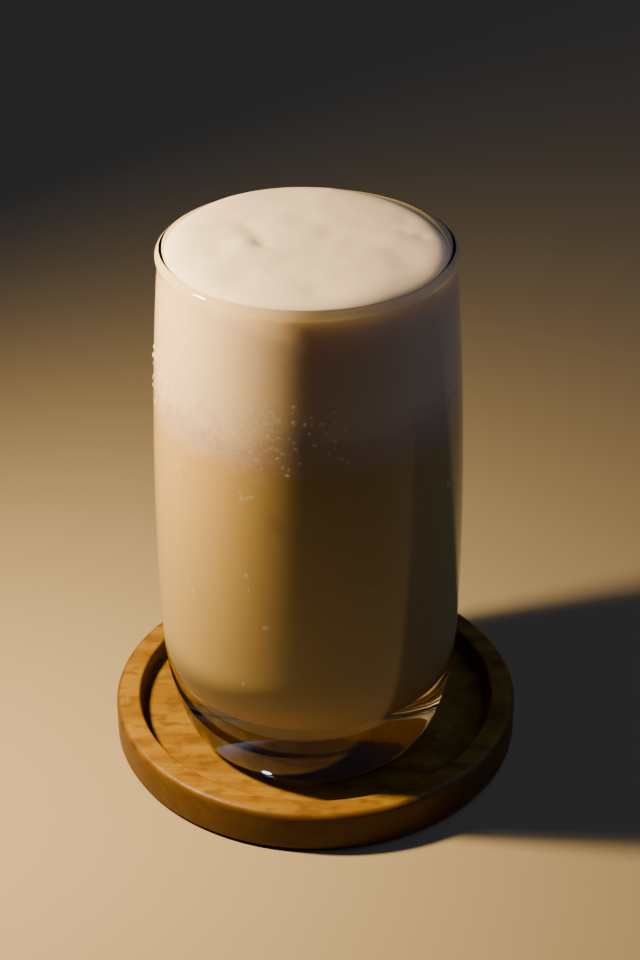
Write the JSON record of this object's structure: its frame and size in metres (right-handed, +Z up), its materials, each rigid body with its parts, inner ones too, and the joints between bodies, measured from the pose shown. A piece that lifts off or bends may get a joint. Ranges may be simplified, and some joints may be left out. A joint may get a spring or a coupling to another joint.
{
  "type": "iced latte",
  "caption": "Milk coffee under a thick crown of milk foam in a barrel-shaped tumbler with a heavy base, on a round recessed wooden coaster.",
  "frame": {"origin": "middle of the coaster's flat underside, on the table", "axes": "+Z up, along the glass; -Y towards the side from which the picture was taken"},
  "size_m": [0.1, 0.1, 0.1368],
  "materials": {
    "coaster_wood": "oiled honey-coloured hardwood, satin",
    "clear_glass": "clear pressed glass, fire-polished rim",
    "milk_coffee": "opaque milk coffee",
    "milk_foam": "dense fine milk foam, matt"
  },
  "bodies": {
    "root": {"coaster": "coaster_wood", "glass": "clear_glass", "latte": "milk_coffee", "foam": "milk_foam"}
  },
  "joints": []
}
